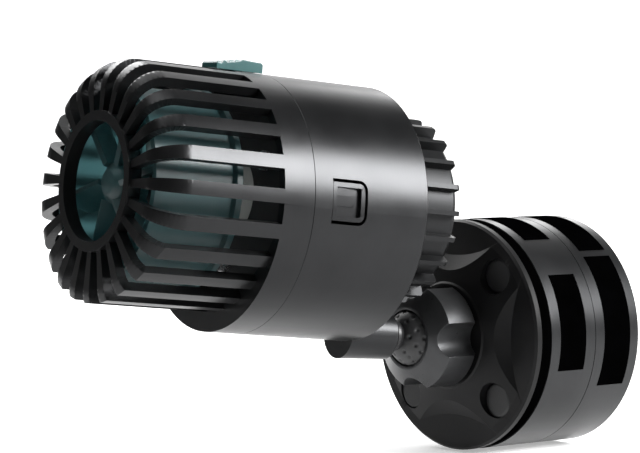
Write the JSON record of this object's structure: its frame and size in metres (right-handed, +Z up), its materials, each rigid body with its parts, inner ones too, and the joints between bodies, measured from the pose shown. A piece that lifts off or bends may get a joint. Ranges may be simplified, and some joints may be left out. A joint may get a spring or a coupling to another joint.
{
  "type": "wave maker pump",
  "caption": "Aquarium wave maker pump: slotted front cage and propeller motor in a round sleeve, ball-jointed to a two-part magnet base that clamps through the tank's glass",
  "frame": {"origin": "centre of the joint face between the two magnet halves, where the tank's glass goes", "axes": "+Y through the glass, out of the tank; +Z up; the pump points to -Y, into the tank"},
  "size_m": [0.0727, 0.1489, 0.1009],
  "materials": {
    "satin_shell": "satin charcoal, fine brushed grain",
    "cover_plastic": "matt dark grey moulded plastic",
    "nut_plastic": "semi-gloss dark grey moulded plastic",
    "ball_plastic": "dimpled matt plastic",
    "seat_plastic": "plain acetal",
    "black_rubber": "smooth black rubber",
    "pad_foam": "fine-grained black foam rubber",
    "magnet_plate": "nickel plate",
    "keeper_steel": "mild steel",
    "screw_steel": "stainless steel",
    "motor_plastic": "black moulded plastic",
    "core_steel": "stacked laminations",
    "coil_copper": "enamelled copper wire",
    "board_green": "solder mask",
    "ceramic": "ground ceramic",
    "teal_clear": "tinted translucent plastic",
    "blade_clear": "pale translucent plastic",
    "rotor_ferrite": "ground ferrite",
    "rotor_plastic": "white moulded plastic"
  },
  "bodies": {
    "wet_base": {"base_cover": "cover_plastic", "cover_gasket": "black_rubber", "cover_screws": "screw_steel", "screw_plugs": "black_rubber", "wet_housing": "satin_shell", "wet_bumpers": "black_rubber", "wet_magnet": "magnet_plate", "wet_keeper": "keeper_steel", "wet_pad": "pad_foam", "seat_o_ring": "black_rubber"},
    "dry_base": {"dry_housing": "satin_shell", "dry_bumpers": "black_rubber", "dry_magnet": "magnet_plate", "dry_keeper": "keeper_steel", "dry_inner_plate": "motor_plastic", "dry_plate_screws": "screw_steel", "dry_pad": "pad_foam"},
    "clamp_nut": {"clamp_nut": "nut_plastic"},
    "ball_seat": {"ball_seat": "seat_plastic"},
    "ball": {"swivel_ball": "ball_plastic"},
    "pump": {"ball_stud": "motor_plastic", "sleeve": "satin_shell", "arm_screw": "screw_steel", "motor_housing": "motor_plastic", "motor_front_plate": "motor_plastic", "front_plate_screws": "screw_steel", "housing_o_ring": "black_rubber", "stator_core": "core_steel", "stator_coils": "coil_copper", "driver_board": "board_green", "rear_bulkhead": "cover_plastic", "bulkhead_screws": "screw_steel", "cable_gland": "motor_plastic", "gland_nut": "motor_plastic", "shaft": "ceramic", "rear_bushing": "seat_plastic"},
    "cage": {"front_cage": "satin_shell", "flow_duct": "teal_clear", "front_bushing": "seat_plastic"},
    "lock_slider": {"lock_slider": "teal_clear"},
    "latch_near": {"latch_near": "satin_shell"},
    "latch_far": {"latch_far": "satin_shell"},
    "rear_ring": {"rear_ring": "satin_shell"},
    "rotor": {"propeller": "blade_clear", "propeller_cap": "motor_plastic", "rotor_magnet": "rotor_ferrite", "rotor_core": "rotor_plastic", "rotor_bushes": "seat_plastic", "thrust_washers": "ceramic"}
  },
  "joints": [
    {"name": "glass_gap", "type": "slide", "parent": "wet_base", "child": "dry_base", "axis": [0, 1, 0], "range_m": [0, 0.012]},
    {"name": "nut_turn", "type": "hinge", "parent": "wet_base", "child": "clamp_nut", "pos_m": [0, -0.032, 0], "axis": [0, -1, 0], "range_deg": [0, 90]},
    {"name": "ball_swing", "type": "hinge", "parent": "wet_base", "child": "ball_seat", "pos_m": [0, -0.0344, 0], "axis": [0, 1, 0], "continuous": true},
    {"name": "ball_tilt", "type": "hinge", "parent": "ball_seat", "child": "ball", "pos_m": [0, -0.0344, 0], "axis": [-0.6336, 0, -0.7736], "range_deg": [-29, 11]},
    {"name": "ball_roll", "type": "hinge", "parent": "ball", "child": "pump", "pos_m": [0, -0.0344, 0], "axis": [0.1213, 0.9876, -0.0993], "continuous": true},
    {"name": "cage_pull", "type": "slide", "parent": "pump", "child": "cage", "axis": [-0.1213, -0.9876, 0.0993], "range_m": [0, 0.03]},
    {"name": "slider_push", "type": "slide", "parent": "cage", "child": "lock_slider", "axis": [0.1213, 0.9876, -0.0993], "range_m": [0, 0.0025]},
    {"name": "latch_near_press", "type": "hinge", "parent": "pump", "child": "latch_near", "pos_m": [0.02435, -0.08552, 0.03693], "axis": [0.0121, 0.0986, 0.9951], "range_deg": [0, 7], "stiffness_Nm_per_rad": 0.4},
    {"name": "latch_far_press", "type": "hinge", "parent": "pump", "child": "latch_far", "pos_m": [-0.03599, -0.07811, 0.03693], "axis": [-0.0121, -0.0986, -0.9951], "range_deg": [0, 7], "stiffness_Nm_per_rad": 0.4},
    {"name": "rear_ring_turn", "type": "hinge", "parent": "pump", "child": "rear_ring", "pos_m": [-0.00155, -0.04705, 0.03343], "axis": [0.1213, 0.9876, -0.0993], "range_deg": [0, 90]},
    {"name": "rotor_spin", "type": "hinge", "parent": "pump", "child": "rotor", "pos_m": [-0.00689, -0.0905, 0.0378], "axis": [0.1213, 0.9876, -0.0993], "continuous": true}
  ]
}
